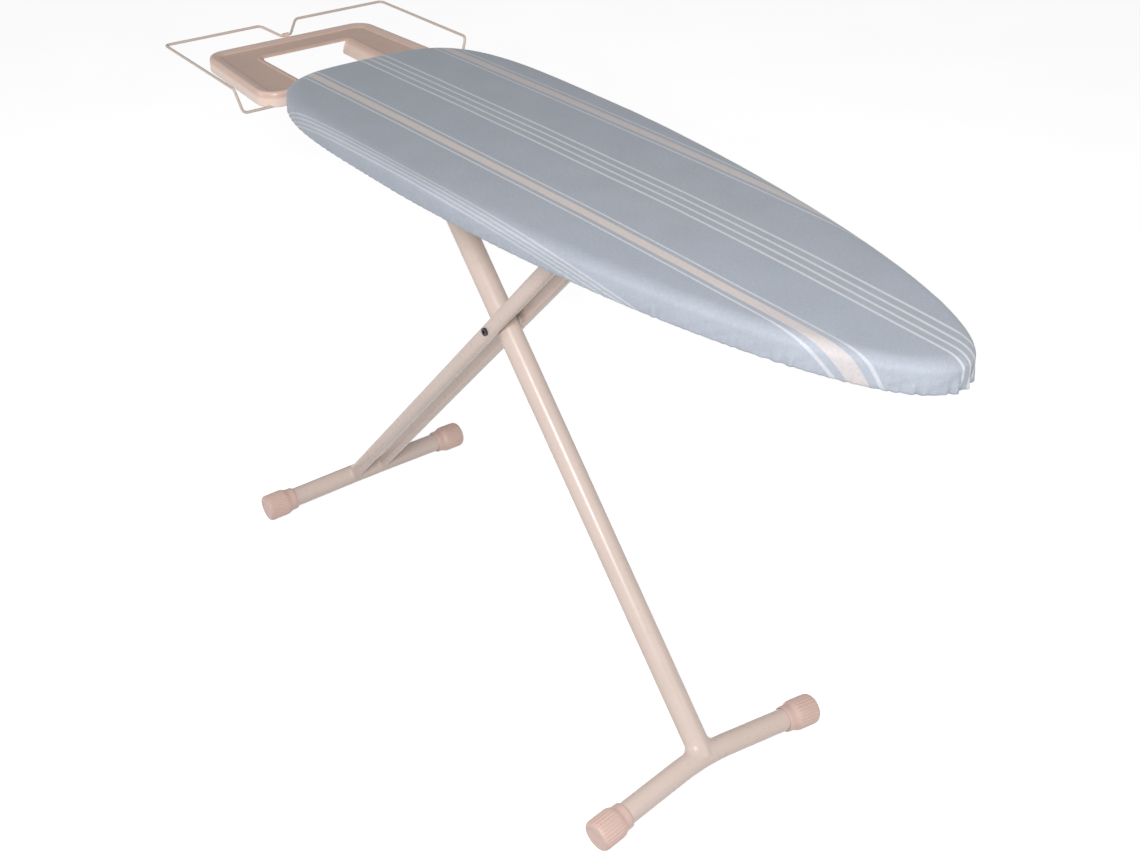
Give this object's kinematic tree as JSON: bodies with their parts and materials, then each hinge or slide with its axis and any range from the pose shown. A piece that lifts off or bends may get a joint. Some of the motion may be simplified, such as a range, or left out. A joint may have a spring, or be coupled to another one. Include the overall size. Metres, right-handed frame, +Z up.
{
  "type": "folding ironing board",
  "caption": "Folding ironing board with a padded, striped cotton cover, an iron tray inside a wire rack, and a scissor stand of tubular legs with capped feet.",
  "frame": {"origin": "on the floor, below the middle of the whole object's length and width", "axes": "+X towards the board's pointed nose, +Y across the board towards the side of the height lever, +Z up"},
  "size_m": [1.5, 0.4362, 0.88],
  "materials": {
    "panel_paint": "satin powder coat",
    "felt": "soft felt",
    "cotton": "woven cotton, blue-grey with pale stripes",
    "frame_paint": "satin powder coat",
    "leg_paint": "gloss powder coat",
    "zinc": "zinc plated",
    "black_steel": "black oxide",
    "spring_steel": "drawn wire",
    "rack_wire": "gloss enamel",
    "tray_plastic": "fine grain",
    "foot_plastic": "satin",
    "nylon": "smooth",
    "grip_plastic": "fine grain"
  },
  "bodies": {
    "board": {"board_panel": "panel_paint", "pad": "felt", "cover": "cotton", "stiffener_left": "frame_paint", "stiffener_right": "frame_paint", "guide_rail_left": "frame_paint", "guide_rail_right": "frame_paint", "hinge_bracket": "frame_paint", "hinge_pin": "zinc", "hinge_pin_caps": "zinc", "tray_support_left": "frame_paint", "tray_support_right": "frame_paint", "iron_tray": "tray_plastic", "tray_screws": "zinc", "wire_rack": "rack_wire", "rack_clips": "zinc", "rack_rear_clip": "tray_plastic", "frame_rivets": "zinc", "lever_pin": "zinc", "lever_spring": "spring_steel", "lever_spacer": "nylon"},
    "main_leg": {"main_leg_tube": "leg_paint", "front_foot_bar": "leg_paint", "front_cap_left": "foot_plastic", "front_cap_right": "foot_plastic", "hinge_bushes": "nylon", "main_leg_plug": "foot_plastic", "pivot_sleeve": "zinc"},
    "twin_leg": {"twin_tube_left": "leg_paint", "twin_tube_right": "leg_paint", "rear_foot_bar": "leg_paint", "rear_cap_left": "foot_plastic", "rear_cap_right": "foot_plastic", "pivot_bolt": "black_steel", "pivot_nut": "black_steel", "pivot_washers": "nylon", "slide_axle": "zinc", "axle_sleeve": "leg_paint", "slide_bushes": "nylon", "axle_caps": "zinc", "twin_tube_plugs": "foot_plastic"},
    "height_lever": {"lever_plate": "zinc", "lever_grip": "grip_plastic"}
  },
  "joints": [
    {"name": "main_fold", "type": "hinge", "parent": "board", "child": "main_leg", "pos_m": [-0.324, 0, 0.83], "axis": [0, -1, 0], "range_deg": [0, 44.7]},
    {"name": "cross_pivot", "type": "hinge", "parent": "main_leg", "child": "twin_leg", "pos_m": [-0.07804, 0, 0.56439], "axis": [0, 1, 0], "range_deg": [0, 89.4]},
    {"name": "lever_squeeze", "type": "hinge", "parent": "board", "child": "height_lever", "pos_m": [0.42731, 0.0514, 0.826], "axis": [0, -1, 0], "range_deg": [0, 4.5], "stiffness_Nm_per_rad": 6, "springref_deg": -14.32}
  ],
  "couplings": [
    {"joint": "cross_pivot", "follows": "main_fold", "ratio": 2}
  ]
}
